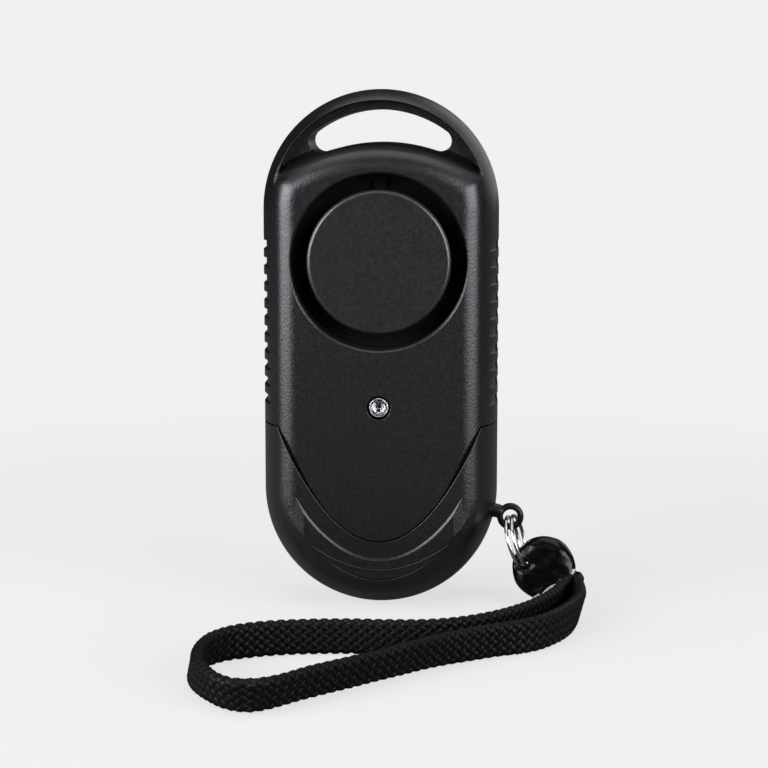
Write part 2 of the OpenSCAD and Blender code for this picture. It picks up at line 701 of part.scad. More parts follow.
module chip_resistors() color([0.1, 0.1, 0.1]) {
    for (k = [0:3]) translate([4 - board_half, board_y - 0.6, board_low + 19 + 2.6 * k]) cube([2, 0.6, 1.25]);
}

module battery() color([0.2, 0.22, 0.28]) {
    translate([0, cell_y, cell_low]) rotate_extrude() polygon([[0, 0], [cell_r - 0.5, 0], [cell_r, 0.5],
        [cell_r, cell_len - 0.5], [cell_r - 0.5, cell_len], [1.75, cell_len], [1.75, cell_len + 0.8],
        [0, cell_len + 0.8]]);
}

module tray_section(r) {
    translate([0, cell_y]) circle(r);
    translate([-r, cell_y]) square([2 * r, back_y - wall - 1.2 - cell_y]);
}

module battery_tray() color([0.12, 0.12, 0.13]) {
    outer = tray_r + tray_wall;
    difference() {
        translate([0, 0, spring_low - 1]) linear_extrude(cell_top + 2.4 - spring_low) tray_section(outer);
        translate([0, 0, spring_low]) linear_extrude(cell_top + 0.4 - spring_low) {
            translate([0, cell_y]) circle(tray_r);
            translate([-tray_r, cell_y]) square([2 * tray_r, body_t]);
        }
    }
    for (s = [-1, 1]) translate([s * (outer + 0.85) - 1.1, back_y - wall - 1.2, 15]) cube([2.2, 1.2, 20]);
}

module battery_spring() color([0.75, 0.75, 0.76]) {
    sweep(spring_path, [for (p = spring_path) [0, 0, 1]], round_section(spring_wire / 2, 6));
}

module battery_contact() color([0.75, 0.75, 0.76]) {
    translate([-3.5, cell_y - 3.5, cell_top]) cube([7, 7, 0.4]);
}

module switch_base() color([0.85, 0.83, 0.78]) {
    difference() {
        translate([base_in, pin_y - 2.6, pin_z - 2.3]) cube([base_out - base_in, 2.6 - pin_y, 4.6]);
        translate([0, pin_y, pin_z]) rotate([0, 90, 0]) cylinder(r = pin_d / 2 + pin_clear, h = body_w);
        for (s = [-1, 1]) translate([0, pin_y + s * 1.95 - 0.17, pin_z - 1.52]) cube([base_out - 0.48, 0.34, 3.04]);
    }
}

// Leaf beside the pin's shank, with a round rib that almost touches it
module leaf(s) {
    translate([pin_tip + 0.4, pin_y + s * 1.95 - 0.15, pin_z - 1.5]) cube([base_out - 0.5 - pin_tip - 0.4, 0.3, 3]);
    rib = 1.95 - 0.1 - pin_d / 2;
    translate([pin_tip + 1.6, pin_y + s * (1.95 - rib / 2), pin_z])
        cube([0.5, rib, 2], center = true);
}

module switch_leaf_front() color([0.8, 0.65, 0.35]) {
    leaf(-1);
}

module switch_leaf_rear() color([0.8, 0.65, 0.35]) {
    leaf(1);
}

module switch_leads() color([0.1, 0.1, 0.1]) {
    for (p = lead_paths) {
        path = smooth(p, 2);
        sweep(path, [for (q = path) [1, 0, 0]], round_section(lead_r, 6));
    }
}

module pull_pin() color([0.07, 0.07, 0.07]) {
    r = pin_d / 2;
    translate([pin_tip, pin_y, pin_z]) rotate([0, 90, 0]) cylinder(r1 = r - 0.5, r2 = r, h = 0.8);
    difference() {
        translate([pin_tip + 0.8, pin_y, pin_z]) rotate([0, 90, 0]) cylinder(r = r, h = elbow[0] - pin_tip + 1);
        past_elbow();
    }
    intersection() {
        translate(elbow) rotate([0, 90 + pin_drop, 0]) translate([0, 0, -2])
            cylinder(r = r, h = 2 + norm(eye - elbow) - (eye_hole_d + eye_band) / 2);
        past_elbow();
    }
    translate(eye) rotate([90, 0, 0]) rotate_extrude() polygon([[eye_hole_d / 2, eye_cut - eye_t / 2],
        [eye_hole_d / 2 + eye_cut, -eye_t / 2], [eye_d / 2 - eye_cut, -eye_t / 2], [eye_d / 2, eye_cut - eye_t / 2],
        [eye_d / 2, eye_t / 2 - eye_cut], [eye_d / 2 - eye_cut, eye_t / 2], [eye_hole_d / 2 + eye_cut, eye_t / 2],
        [eye_hole_d / 2, eye_t / 2 - eye_cut]]);
}

// Outer side of the slanted plane where the pin's shank meets its neck
module past_elbow() {
    translate(elbow) rotate([0, pin_drop / 2, 0]) translate([0, -5, -5]) cube(10);
}

module split_ring() color([0.78, 0.78, 0.8]) {
    sweep(ring_path, [for (p = ring_path) ring_n], round_section(ring_wire / 2, 8));
}

// Half section of the sleeve's round tab: distance from its middle across, thickness up
module sleeve_section() {
    edge = sleeve_t / 2 - 0.4;
    translate([0, -sleeve_t / 2]) square([sleeve_r - edge, sleeve_t]);
    translate([0, -0.4]) square([sleeve_r, 0.8]);
    intersection() {
        translate([sleeve_r - edge, 0.4]) circle(edge);
        translate([sleeve_r - edge, 0.4]) square(edge);
    }
    intersection() {
        translate([sleeve_r - edge, -0.4]) circle(edge);
        translate([sleeve_r - edge, -0.4 - edge]) square(edge);
    }
}

module strap_sleeve() color([0.03, 0.03, 0.03]) {
    difference() {
        translate([sleeve[0], sleeve[1], sleeve[2]]) rotate([90, 0, 0]) rotate_extrude() sleeve_section();
        translate(sleeve) rotate([0, -sleeve_slant, 0]) translate([sleeve_cut, -10, -20]) cube([20, 20, 40]);
        translate(sleeve) rotate([0, -sleeve_slant, 0])
            translate([sleeve_cut - 3.4, -strap_t - 0.2, strap_off - strap_w / 2 - 0.15])
            cube([10, 2 * strap_t + 0.4, strap_w + 0.3]);
        translate(sleeve) rotate([0, -sleeve_slant, 0])
            translate([sleeve_cut - 0.7, -strap_t - 1.2, strap_off - strap_w / 2 - 0.15])
            cube([10, 2 * strap_t + 2.4, strap_w + 0.3]);
        translate(ring_hole) rotate([0, acos(ring_v[2]), atan2(ring_v[1], ring_v[0])])
            cylinder(r = ring_hole_r, h = 20, center = true);
    }
}

module wrist_strap() color([0.05, 0.05, 0.05]) {
    path = smooth(strap_path, 0);
    across = [for (p = strap_points) [p[3], p[4], 1]];
    h = strap_w / 2;
    t = strap_t / 2;
    sweep(path, across, [[h, 0.35 * t], [h, -0.35 * t], [h - 0.65, -t], [0.65 - h, -t],
        [-h, -0.35 * t], [-h, 0.35 * t], [0.65 - h, t], [h - 0.65, t]]);
}

front_shell();
lower_cover();
rear_shell();
battery_door();
door_screw();
case_screws();
siren_disc();
siren_spider();
siren_cup();
sound_felt();
siren_gasket();
piezo_plate();
piezo_ceramic();
siren_leads();
led();
led_board();
led_leads();
main_board();
driver_chip();
boost_coil();
capacitor();
chip_resistors();
battery();
battery_tray();
battery_spring();
battery_contact();
switch_base();
switch_leaf_front();
switch_leaf_rear();
switch_leads();
pull_pin();
split_ring();
strap_sleeve();
wrist_strap();
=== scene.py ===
import math

import bpy
import numpy as np
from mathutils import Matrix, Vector


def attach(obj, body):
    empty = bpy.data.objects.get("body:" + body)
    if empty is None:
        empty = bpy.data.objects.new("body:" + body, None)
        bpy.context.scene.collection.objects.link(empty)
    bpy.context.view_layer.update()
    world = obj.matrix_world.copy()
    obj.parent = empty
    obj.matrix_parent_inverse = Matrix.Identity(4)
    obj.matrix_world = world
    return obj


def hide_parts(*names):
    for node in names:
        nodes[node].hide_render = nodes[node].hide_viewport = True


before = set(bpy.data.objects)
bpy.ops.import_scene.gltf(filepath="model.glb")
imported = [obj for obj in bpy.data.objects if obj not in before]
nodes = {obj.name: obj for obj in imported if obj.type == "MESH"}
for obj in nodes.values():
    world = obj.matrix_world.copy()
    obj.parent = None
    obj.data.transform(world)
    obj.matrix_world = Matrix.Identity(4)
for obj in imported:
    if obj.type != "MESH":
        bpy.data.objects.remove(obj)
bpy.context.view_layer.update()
MM = 0.001


# Materials

# Places that the shine of the plastic follows, in metres: the dome's upper corners, the disc's
# middle and radius, and the tongue's seam z = low + bend x^2, with a wedge of painted shade beside it
# that widens between two heights
DOME_CORNER = (0.0155, 0.0752)
DISC_Z, DISC_R = 0.062, 0.0126
SEAM_LOW, SEAM_BEND, SEAM_TOP = 0.012685, 64, 0.033085
# Painted shade beside the seam: the heights where its wedge is narrowest and broadest, and its widths
SEAM_SHADE_LOW_Z, SEAM_SHADE_HIGH_Z = 0.0195, 0.0295
SEAM_SHADE_NARROW, SEAM_SHADE_BROAD = 0.00002, 0.0015

# Shine of plain plastic, of the disc's rim and in the painted shade beside the seam
PLAIN_SHINE, RIM_SHINE, SEAM_SHADE_SHINE = 0.5, 1.0, 0.03
# Painted light: a cool tint on the plastic's shine stands in for bluish lamps
PAINTED_COOL_LIGHT = (0.93, 0.955, 1, 1)
ROUGH_SPREAD = 0.025


def shader(name, color, rough, metallic=0.0, specular=PLAIN_SHINE, transmission=0.0, ior=1.5):
    """A material with one principled shader; returns the material, its node tree and the shader."""
    mat = bpy.data.materials.new(name)
    mat.use_nodes = True
    tree = mat.node_tree
    bsdf = tree.nodes["Principled BSDF"]
    bsdf.inputs["Base Color"].default_value = (*color, 1)
    bsdf.inputs["Roughness"].default_value = rough
    bsdf.inputs["Metallic"].default_value = metallic
    bsdf.inputs["Specular IOR Level"].default_value = specular
    bsdf.inputs["Transmission Weight"].default_value = transmission
    bsdf.inputs["IOR"].default_value = ior
    mat.diffuse_color = (*color, 1)
    return mat, tree, bsdf


def add(tree, kind, **settings):
    """A node with its properties and unlinked inputs set."""
    node = tree.nodes.new(kind)
    for key, value in settings.items():
        if key in node.inputs:
            node.inputs[key].default_value = value
        else:
            setattr(node, key.lower(), value)
    return node


def math_node(tree, operation, *values):
    """Output of a math node whose inputs are numbers or outputs of other nodes."""
    node = add(tree, "ShaderNodeMath", operation=operation)
    for socket, value in zip(node.inputs, values):
        if isinstance(value, (int, float)):
            socket.default_value = value
        else:
            tree.links.new(value, socket)
    return node.outputs["Value"]


def remap(tree, value, low, high, to_low, to_high, kind="LINEAR"):
    """The value carried from one range to another and held at both ends."""
    node = add(tree, "ShaderNodeMapRange", interpolation_type=kind)
    tree.links.new(value, node.inputs["Value"])
    for key, number in (("From Min", low), ("From Max", high), ("To Min", to_low), ("To Max", to_high)):
        node.inputs[key].default_value = number
    return node.outputs["Result"]


def object_noise(tree, scale, detail=2.0, roughness=0.5):
    """Noise in the object's own coordinates; scale is in features per metre."""
    coord = add(tree, "ShaderNodeTexCoord")
    tex = add(tree, "ShaderNodeTexNoise", Scale=scale, Detail=detail, Roughness=roughness)
    tree.links.new(coord.outputs["Object"], tex.inputs["Vector"])
    return tex.outputs["Fac"]


def bump(tree, bsdf, height, strength, distance, normal=None):
    """Relief that follows the height, over a softened normal where one is given."""
    node = add(tree, "ShaderNodeBump", Strength=strength, Distance=distance)
    if normal is not None:
        tree.links.new(normal, node.inputs["Normal"])
    tree.links.new(height, node.inputs["Height"])
    tree.links.new(node.outputs["Normal"], bsdf.inputs["Normal"])


def mottle(tree, bsdf, color, value, low, high):
    """Base colour times a factor that follows the value."""
    factor = remap(tree, value, 0.3, 0.7, low, high)
    mix = add(tree, "ShaderNodeMix", data_type="RGBA", blend_type="MULTIPLY")
    mix.inputs["Factor"].default_value = 1.0
    mix.inputs["A"].default_value = (*color, 1)
    tree.links.new(factor, mix.inputs["B"])
    tree.links.new(mix.outputs["Result"], bsdf.inputs["Base Color"])


def away_from(tree, x, z):
    """Distance in metres from the two lines along Y through (x, z) and (-x, z)."""
    coord = add(tree, "ShaderNodeTexCoord")
    mirrored = add(tree, "ShaderNodeVectorMath", operation="ABSOLUTE")
    flat = add(tree, "ShaderNodeVectorMath", operation="MULTIPLY")
    flat.inputs[1].default_value = (1, 0, 1)
    away = add(tree, "ShaderNodeVectorMath", operation="DISTANCE")
    away.inputs[1].default_value = (x, 0, z)
    tree.links.new(coord.outputs["Object"], mirrored.inputs[0])
    tree.links.new(mirrored.outputs[0], flat.inputs[0])
    tree.links.new(flat.outputs[0], away.inputs[0])
    return away.outputs["Value"]


def corner_radius(tree, small):
    """Edge softening in metres: small, and larger where the dome's end meets its sides."""
    near, far, large = 0.0015, 0.0045, 0.0013
    return remap(tree, away_from(tree, *DOME_CORNER), near, far, large, small)


def polished_rim(mat):
    """More shine along the edge of the disc, where hands rub it."""
    tree = mat.node_tree
    inner, outer = DISC_R - 0.0007, DISC_R - 0.0004
    shine = remap(tree, away_from(tree, 0, DISC_Z), inner, outer, PLAIN_SHINE, RIM_SHINE)
    tree.links.new(shine, tree.nodes["Principled BSDF"].inputs["Specular IOR Level"])


def seam_painted_shade(mat):
    """Painted shade beside the tongue's seam: no shine in a wedge on its inner side, widest at its upper
    ends.
    """
    tree = mat.node_tree
    coord = add(tree, "ShaderNodeTexCoord")
    place = add(tree, "ShaderNodeSeparateXYZ")
    tree.links.new(coord.outputs["Object"], place.inputs["Vector"])
    x, z = place.outputs["X"], place.outputs["Z"]
    bent = math_node(tree, "MULTIPLY_ADD", math_node(tree, "MULTIPLY", x, x), -SEAM_BEND, z)
    above = math_node(tree, "SUBTRACT", bent, SEAM_LOW)
    shade_width = remap(tree, z, SEAM_SHADE_LOW_Z, SEAM_SHADE_HIGH_Z, SEAM_SHADE_NARROW, SEAM_SHADE_BROAD)
    shade_end = remap(tree, z, SEAM_TOP - 0.0025, SEAM_TOP, 1, 0.1)
    share = math_node(tree, "DIVIDE", above, math_node(tree, "MULTIPLY", shade_width, shade_end))
    inner = remap(tree, share, 0.75, 1.05, 1, 0)
    outer = remap(tree, above, -0.0003, -0.0001, 0, 1)
    wedge = math_node(tree, "MULTIPLY", inner, outer)
    wedge = math_node(tree, "MULTIPLY", wedge, math_node(tree, "LESS_THAN", z, SEAM_TOP))
    # Painted shade: no shine inside the wedge, so it turns dark
    shine = remap(tree, wedge, 0, 1, PLAIN_SHINE, SEAM_SHADE_SHINE)
    tree.links.new(shine, tree.nodes["Principled BSDF"].inputs["Specular IOR Level"])


def grained_plastic(name, color, rough, grain, depth, edge=0.00016):
    """Moulded plastic with a fine even grain; grain is in features per metre, depth in metres."""
    mat, tree, bsdf = shader(name, color, rough)
    # Painted light: the shine is tinted cool in place of bluish lamps
    bsdf.inputs["Specular Tint"].default_value = PAINTED_COOL_LIGHT
    fine = object_noise(tree, grain, 3.0, 0.6)
    soft = add(tree, "ShaderNodeBevel", samples=8)
    tree.links.new(corner_radius(tree, edge), soft.inputs["Radius"])
    bump(tree, bsdf, fine, 1.0, depth, soft.outputs["Normal"])
    broad = object_noise(tree, 260)
    mottle(tree, bsdf, color, broad, 0.88, 1.12)
    uneven = object_noise(tree, grain * 0.55, 1.0)
    spread = remap(tree, uneven, 0.35, 0.65, rough - ROUGH_SPREAD, rough + ROUGH_SPREAD)
    tree.links.new(spread, bsdf.inputs["Roughness"])
    return mat


def plain_metal(name, color, rough):
    """Bare metal with fine uneven shine."""
    mat, tree, bsdf = shader(name, color, rough, metallic=1.0)
    scratch = object_noise(tree, 5200, 2.0, 0.6)
    uneven = remap(tree, scratch, 0.3, 0.7, rough * 0.7, rough * 1.4)
    tree.links.new(uneven, bsdf.inputs["Roughness"])
    mottle(tree, bsdf, color, scratch, 0.94, 1.04)
    return mat


def soft_matte(name, color, rough, scale, depth):
    """Felt, rubber, ceramic, board and paint: little gloss, an uneven face."""
    mat, tree, bsdf = shader(name, color, rough, specular=0.15)
    tex = object_noise(tree, scale, 4.0, 0.65)
    bump(tree, bsdf, tex, 1.0, depth)
    mottle(tree, bsdf, color, tex, 0.8, 1.15)
    return mat


def gloss_black():
    """Shiny black film with slow waves."""
    color = (0.0008, 0.0008, 0.0011)
    mat, tree, bsdf = shader("gloss_black", color, 0.22, specular=0.17)
    slow = object_noise(tree, 420)
    bump(tree, bsdf, slow, 0.6, 0.00012)
    uneven = remap(tree, object_noise(tree, 900, 3.0, 0.6), 0.3, 0.7, 0.15, 0.3)
    tree.links.new(uneven, bsdf.inputs["Roughness"])
    mottle(tree, bsdf, color, slow, 0.8, 1.2)
    return mat


def pin_black():
    """Black plastic of the pin, with a light sheen."""
    color = (0.002, 0.002, 0.0022)
    mat, tree, bsdf = shader("pin_black", color, 0.3, specular=0.22)
    tex = object_noise(tree, 1500)
    bump(tree, bsdf, tex, 0.5, 0.00003)
    mottle(tree, bsdf, color, tex, 0.85, 1.15)
    return mat


def torn_edge():
    """Whitish edge of the film, broken up by black stretches."""
    mat, tree, bsdf = shader("torn_edge", (0.5, 0.5, 0.5), 0.6)
    patch = remap(tree, object_noise(tree, 900, 2.0, 0.6), 0.4, 0.54, 0.0, 1.0)
    mix = add(tree, "ShaderNodeMix", data_type="RGBA")
    mix.inputs["A"].default_value = (0.012, 0.012, 0.012, 1)
    mix.inputs["B"].default_value = (0.32, 0.32, 0.31, 1)
    tree.links.new(patch, mix.inputs["Factor"])
    tree.links.new(mix.outputs["Result"], bsdf.inputs["Base Color"])
    return mat


def yarn():
    """Black polyester yarn: fine fibres along each strand, from the strands' own UV."""
    color = (0.0012, 0.0012, 0.0015)
    mat, tree, bsdf = shader("black_yarn", color, 0.5, specular=0.1)
    uv = add(tree, "ShaderNodeUVMap", uv_map="strand")
    wave = add(tree, "ShaderNodeTexWave", bands_direction="X", Scale=2.4, Distortion=2.5, Detail=2.0)
    tree.links.new(uv.outputs["UV"], wave.inputs["Vector"])
    bump(tree, bsdf, wave.outputs["Fac"], 0.5, 0.00004)
    mottle(tree, bsdf, color, wave.outputs["Fac"], 0.65, 1.35)
    return mat


def clear_lens():
    """Clear plastic of the lamp's dome."""
    mat, tree, bsdf = shader("clear_lens", (0.96, 0.97, 0.98), 0.03, transmission=1.0, ior=1.45)
    uneven = remap(tree, object_noise(tree, 800, 1.0), 0.3, 0.7, 0.02, 0.06)
    tree.links.new(uneven, bsdf.inputs["Roughness"])
    return mat


CASE_LOOK = ((0.0009, 0.0009, 0.0013), 0.33, 2500, 0.000046)
case_mat = grained_plastic("case_plastic", *CASE_LOOK)
# Painted shade on the case: a dark wedge without shine along the upper ends of the tongue's seam
seam_painted_shade(case_mat)
disc_mat = grained_plastic("disc_plastic", (0.0014, 0.0012, 0.0018), 0.36, 2600, 0.00003, 0.0004)
polished_rim(disc_mat)
rear_mat = grained_plastic("rear_plastic", *CASE_LOOK)
black_mat = grained_plastic("black_plastic", (0.002, 0.002, 0.0022), 0.7, 3000, 0.00002)
cream_mat = grained_plastic("cream_plastic", (0.7, 0.64, 0.52), 0.45, 2500, 0.00001)
hollow_mat = soft_matte("hollow_black", (0.0008, 0.0008, 0.0008), 0.95, 2000, 0.00002)
felt_mat = soft_matte("black_felt", (0.0015, 0.0015, 0.0015), 0.95, 2400, 0.00008)
rubber_mat = soft_matte("soft_rubber", (0.02, 0.02, 0.02), 0.8, 1800, 0.00002)
wire_mat = soft_matte("wire_cover", (0.35, 0.03, 0.03), 0.5, 1500, 0.00001)
ceramic_mat = soft_matte("white_ceramic", (0.78, 0.75, 0.66), 0.6, 1800, 0.00001)
ferrite_mat = soft_matte("ferrite", (0.05, 0.045, 0.045), 0.7, 2400, 0.00003)
board_mat = soft_matte("board", (0.02, 0.15, 0.06), 0.4, 900, 0.00001)
steel_mat = plain_metal("screw_steel", (0.58, 0.58, 0.6), 0.32)
ring_mat = plain_metal("ring_steel", (0.5, 0.5, 0.51), 0.2)
brass_mat = plain_metal("brass_sheet", (0.72, 0.52, 0.22), 0.3)
can_mat = plain_metal("can_metal", (0.62, 0.62, 0.64), 0.3)
cell_mat = soft_matte("cell_can", (0.05, 0.07, 0.14), 0.35, 700, 0.00001)
gloss_mat, pin_mat, torn_mat, yarn_mat = gloss_black(), pin_black(), torn_edge(), yarn()
core_mat = soft_matte("strap_core", (0.002, 0.002, 0.002), 0.9, 2500, 0.00003)
lens_mat = clear_lens()
cup_mat = plain_metal("lamp_cup", (0.8, 0.8, 0.82), 0.42)
shade_mat = grained_plastic("lamp_shade", (0.09, 0.09, 0.095), 0.4, 2500, 0.00001)
chip_mat = grained_plastic("lamp_chip", (0.02, 0.02, 0.022), 0.4, 2500, 0.00001)

for name, mat in {
    "front_shell": case_mat, "lower_cover": case_mat, "rear_shell": rear_mat, "battery_door": rear_mat,
    "door_screw": steel_mat, "case_screws": steel_mat, "siren_disc": disc_mat, "siren_spider": hollow_mat,
    "siren_cup": hollow_mat, "sound_felt": felt_mat, "siren_gasket": rubber_mat, "piezo_plate": brass_mat,
    "piezo_ceramic": ceramic_mat, "siren_leads": wire_mat, "led": lens_mat, "led_board": board_mat,
    "led_leads": wire_mat, "main_board": board_mat, "driver_chip": black_mat, "boost_coil": ferrite_mat,
    "capacitor": can_mat, "chip_resistors": ceramic_mat, "battery": cell_mat, "battery_tray": black_mat,
    "battery_spring": steel_mat, "battery_contact": steel_mat, "switch_base": cream_mat,
    "switch_leaf_front": brass_mat, "switch_leaf_rear": brass_mat, "switch_leads": wire_mat,
}.items():
    mesh = nodes[name].data
    mesh.materials.clear()
    mesh.materials.append(mat)


# Mesh helpers; all sizes from here to the stage are in millimetres

def mesh_object(name, verts, faces, mats, indices=None):
    """A smooth object at the origin, made of points in millimetres."""
    mesh = bpy.data.meshes.new(name)
    mesh.from_pydata([(x * MM, y * MM, z * MM) for x, y, z in verts], [], faces)
    for mat in mats:
        mesh.materials.append(mat)
    if indices is not None:
        mesh.polygons.foreach_set("material_index", indices)
    mesh.polygons.foreach_set("use_smooth", [True] * len(mesh.polygons))
    mesh.update()
    obj = bpy.data.objects.new(name, mesh)
    bpy.context.scene.collection.objects.link(obj)
    return obj


def unit(v):
    return v / np.linalg.norm(v, axis=-1, keepdims=True)


def unit_circle(sides):
    """Points (cos, sin) at even steps around a circle."""
    turns = [2 * math.pi * i / sides for i in range(sides)]
    return [(math.cos(t), math.sin(t)) for t in turns]


def tube_faces(rings, sides, start=0):
    """Faces of a closed tube whose points are numbered ring by ring from start."""
    faces = []
    for k in range(rings - 1):
        for i in range(sides):
            j = (i + 1) % sides
            a, b = start + k * sides, start + (k + 1) * sides
            faces.append((a + i, a + j, b + j, b + i))
    faces.append(tuple(start + i for i in reversed(range(sides))))
    faces.append(tuple(start + (rings - 1) * sides + i for i in range(sides)))
    return faces


def sweep(path, across, section):
    """Points of a tube: section is (along across, along the other side) for each ring point."""
    path = np.asarray(path, float)
    tangent = unit(np.gradient(path, axis=0))
    across = np.asarray(across, float)
    across = unit(across - (across * tangent).sum(1, keepdims=True) * tangent)
    side = np.cross(tangent, across)
    section = np.asarray(section, float)
    points = (path[:, None] + section[None, :, :1] * across[:, None]
              + section[None, :, 1:] * side[:, None])
    return points.reshape(-1, 3)


# Lower cover: two fine raised lines, on the band and along its lower edge, that run out in points

# Middle of the round end, radius of its flat, and the arc of the shoulder around it
LOW_Z, FLAT_R = 20.785, 14.5
SHOULDER_R, SHOULDER_F, SHOULDER_END = 4.25, 6.75, 3.4
NUDGE = 0.01


def cover_front(x, z, lift):
    """How far the lower cover's front lies before the middle plane, raised by lift."""
    past = np.clip(np.hypot(x, z - LOW_Z) - FLAT_R, 0, SHOULDER_END)
    return SHOULDER_F + np.sqrt((SHOULDER_R + lift) ** 2 - past ** 2)


def cover_line(name, low, bend, half, lift, radius):
    """A bead along z = low + bend x^2, half sunk into the cover."""
    sides, tip_r = 10, 0.01
    x = np.linspace(-half, half, 141)
    z = low + bend * x ** 2
    path = np.column_stack([x, -cover_front(x, z, lift), z])
    slope_x = (cover_front(x + NUDGE, z, lift) - cover_front(x - NUDGE, z, lift)) / (2 * NUDGE)
    slope_z = (cover_front(x, z + NUDGE, lift) - cover_front(x, z - NUDGE, lift)) / (2 * NUDGE)
    normal = unit(np.column_stack([-slope_x, -np.ones_like(x), -slope_z]))
    side = np.cross(unit(np.gradient(path, axis=0)), normal)
    r = (radius * np.sqrt(1 - (np.abs(x) / half) ** 4) + tip_r)[:, None]
    rings = [path + r * (c * normal + s * side) for c, s in unit_circle(sides)]
    points = np.stack(rings, 1).reshape(-1, 3)
    obj = mesh_object(name, points.tolist(), tube_faces(len(x), sides), [case_mat])
    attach(obj, "case")


cover_line("cover_line_mid", 7.5, 0.031, 12.8, 0.3, 0.16)
cover_line("cover_line_low", 5.55, 0.043, 15.6, 0.0, 0.2)


# Wrist strap: a flat braid of strands that cross over and under each other

# Places of the two runs in the sleeve, height of the strap's middle on the floor, and the strands'
# turn: 1 would be 45 degrees
SLEEVE_Y, LAYER = -4.2, 1.05
REST_Z = 3.05
STEEP = 0.8

# Middle of the strap (x, y, z), and how far its width leans in x and y for each step up
ROUTE = [
    (30.7, SLEEVE_Y + LAYER, 7.4, 1.2, 0), (31.9, SLEEVE_Y + LAYER, 5.7, 1.2, 0),
    (33.3, -3.15, 3.75, 1.1, 0), (34.5, -4.7, 3.4, 0.75, 0), (34.6, -8.4, 3.4, 0.45, 0),
    (34.9, -12, 3.15, 0.35, -0.05), (34.9, -15.5, REST_Z, 0.3, -0.05), (34.6, -19, REST_Z, 0.25, -0.1),
    (33.8, -22.6, REST_Z, 0.15, -0.05), (32.6, -26.6, REST_Z, 0.05, 0), (30.7, -31, REST_Z, 0, 0),
    (27.9, -35.4, REST_Z, 0, 0), (25.2, -38, REST_Z, 0, -0.05), (22.6, -39.6, REST_Z, 0.05, -0.1),
    (20, -41.1, REST_Z, 0.1, -0.15), (16.2, -43.6, REST_Z, 0.1, -0.15), (12.7, -46.1, REST_Z, 0.15, -0.2),
    (9, -49.3, REST_Z, 0.2, -0.25), (5.5, -52.9, REST_Z, 0.25, -0.25), (2, -56.5, REST_Z, 0.3, -0.3),
    (-1.5, -60, REST_Z, 0.3, -0.3), (-5, -63.3, REST_Z, 0.3, -0.3), (-8.4, -66.6, REST_Z, 0.3, -0.3),
    (-11.6, -70.3, REST_Z, 0.3, -0.35), (-13.6, -72.2, REST_Z, 0.2, -0.4),
    (-15.8, -73.4, REST_Z, 0.1, -0.4), (-18.4, -73.2, REST_Z, -0.15, -0.4),
    (-20.8, -71.2, REST_Z, -0.25, -0.25), (-22.6, -68.4, REST_Z, -0.2, -0.15),
    (-24.4, -64.8, REST_Z, -0.1, 0), (-25.7, -61.2, REST_Z, 0.05, 0), (-26.4, -57, REST_Z, 0.2, 0),
    (-26.3, -52.4, REST_Z, 0.25, 0), (-25.2, -48.2, REST_Z, 0.2, -0.1), (-22.8, -44.8, REST_Z, 0.1, -0.1),
    (-19.4, -42.6, REST_Z, 0, 0), (-15.3, -41, REST_Z, 0, 0), (-9.5, -39.9, REST_Z, 0, 0),
    (-3.5, -39.5, REST_Z, 0, 0), (2.5, -39.7, REST_Z, 0, 0), (7.8, -39.5, REST_Z, 0, 0),
    (12.6, -38.3, REST_Z, 0, 0), (16.8, -36, REST_Z, 0, 0), (20.6, -32.9, REST_Z, 0, 0),
    (23.9, -29.2, REST_Z, 0, 0), (26.7, -25.2, REST_Z, 0, 0), (29, -21, REST_Z, 0, 0),
    (30.7, -17, REST_Z, 0, 0), (31.7, -13.2, 3.15, 0.1, 0), (32.1, -10.2, 3.3, 0.3, 0),
    (32.3, -8.2, 3.5, 0.55, 0), (32.4, -6.7, 3.85, 0.85, 0), (32.65, -5.4, 4.45, 1.1, 0),
    (31.9, SLEEVE_Y - LAYER, 5.7, 1.2, 0), (30.7, SLEEVE_Y - LAYER, 7.4, 1.2, 0),
]


def smooth_line(points, per=24):
    """A curve through all the points, each row carried along."""
    p = np.asarray(points, float)
    p = np.vstack([p[:1], p, p[-1:]])
    t = np.linspace(0, 1, per, endpoint=False)[:, None]
    rows = []
    for k in range(1, len(p) - 2):
        a, b, c, d = p[k - 1], p[k], p[k + 1], p[k + 2]
        rows.append(0.5 * (2 * b + (c - a) * t + (2 * a - 5 * b + 4 * c - d) * t ** 2
                           + (3 * b - a - 3 * c + d) * t ** 3))
    return np.vstack(rows + [p[-2:-1]])


def even(rows, step):
    """The same curve with points at even distances, and those distances from its start."""
    steps = np.linalg.norm(np.diff(rows[:, :3], axis=0), axis=1)
    length = np.concatenate([[0], np.cumsum(steps)])
    at = np.linspace(0, length[-1], max(2, int(round(length[-1] / step)) + 1))
    return np.stack([np.interp(at, length, rows[:, i]) for i in range(rows.shape[1])], 1), at


def leaning(rows):
    """Direction of the strap's width at each point of the route."""
    return np.column_stack([rows[:, 3:5], np.ones(len(rows))])


def stadium(half_w, half_t, u):
    """Point and outward normal at the share u of the way around a flat oval, and the way around."""
    straight, arc = 2 * (half_w - half_t), math.pi * half_t
    around = 2 * (straight + arc)
    d = np.mod(u, 1.0) * around
    x, y, nx, ny = (np.zeros_like(d) for _ in range(4))
    top = d < straight
    x[top], y[top], ny[top] = -straight / 2 + d[top], half_t, 1
    e = d - straight
    right = (e >= 0) & (e < arc)
    turn = math.pi / 2 - e[right] / half_t
    nx[right], ny[right] = np.cos(turn), np.sin(turn)
    x[right], y[right] = straight / 2 + half_t * np.cos(turn), half_t * np.sin(turn)
    e = e - arc
    low = (e >= 0) & (e < straight)
    x[low], y[low], ny[low] = straight / 2 - e[low], -half_t, -1
    e = e - straight
    left = e >= 0
    turn = -math.pi / 2 - e[left] / half_t
    nx[left], ny[left] = np.cos(turn), np.sin(turn)
    x[left], y[left] = -straight / 2 + half_t * np.cos(turn), half_t * np.sin(turn)
    return x, y, nx, ny, around


